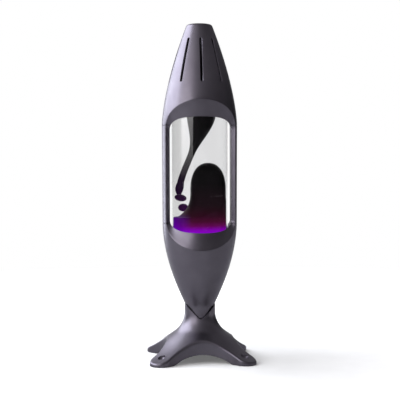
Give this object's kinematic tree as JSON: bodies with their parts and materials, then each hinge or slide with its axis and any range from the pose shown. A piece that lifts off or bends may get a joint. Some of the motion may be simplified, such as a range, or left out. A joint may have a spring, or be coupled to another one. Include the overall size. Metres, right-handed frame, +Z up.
{
  "type": "liquid motion lamp",
  "caption": "Torpedo-shaped metal liquid motion lamp: a sealed bottle of wax between two posts under a vented lift-off cone, on a four-legged star stand.",
  "frame": {"origin": "on the surface that the lamp stands on, below the middle of its stand", "axes": "+Z up the lamp's axis, front window towards -Y, posts at +X and -X"},
  "size_m": [0.124, 0.124, 0.3998],
  "materials": {
    "gunmetal": "satin gunmetal lacquer on cast aluminium",
    "steel": "zinc plated",
    "bare_aluminium": "turned",
    "silicone": "matt",
    "bottle_glass": "clear",
    "black_plastic": "moulded",
    "wax": "smooth wax",
    "bulb_glass": "frosted crown",
    "brass": "drawn",
    "holder_plastic": "moulded"
  },
  "bodies": {
    "base": {"stand": "gunmetal", "lower_shell": "gunmetal", "left_post": "gunmetal", "right_post": "gunmetal", "lower_post_pins": "steel", "upper_post_pins": "steel", "bottle_seat": "bare_aluminium", "seat_gasket": "silicone", "bottle": "bottle_glass", "bottle_cap": "black_plastic", "cap_liner": "silicone", "wax_dome": "wax", "wax_column": "wax", "bulb_glass": "bulb_glass", "bulb_cap": "brass", "bulb_tip": "black_plastic", "bulb_holder": "holder_plastic", "holder_sleeve": "brass", "holder_contact": "brass", "terminal_screws": "steel", "fixing_rod": "steel", "fixing_washer": "steel", "fixing_nut": "steel", "rod_bush": "black_plastic"},
    "lift_off_shell": {"upper_shell": "gunmetal", "bottle_collar": "silicone"},
    "upper_bead": {"wax_bead_upper": "wax"},
    "lower_bead": {"wax_bead_lower": "wax"}
  },
  "joints": [
    {"name": "upper_shell_lift", "type": "slide", "parent": "base", "child": "lift_off_shell", "axis": [0, 0, 1], "range_m": [0, 0.1]},
    {"name": "upper_bead_float", "type": "slide", "parent": "base", "child": "upper_bead", "axis": [0, 0, 1], "range_m": [-0.01, 0.09]},
    {"name": "lower_bead_float", "type": "slide", "parent": "base", "child": "lower_bead", "axis": [0, 0, 1], "range_m": [0, 0.1]}
  ]
}
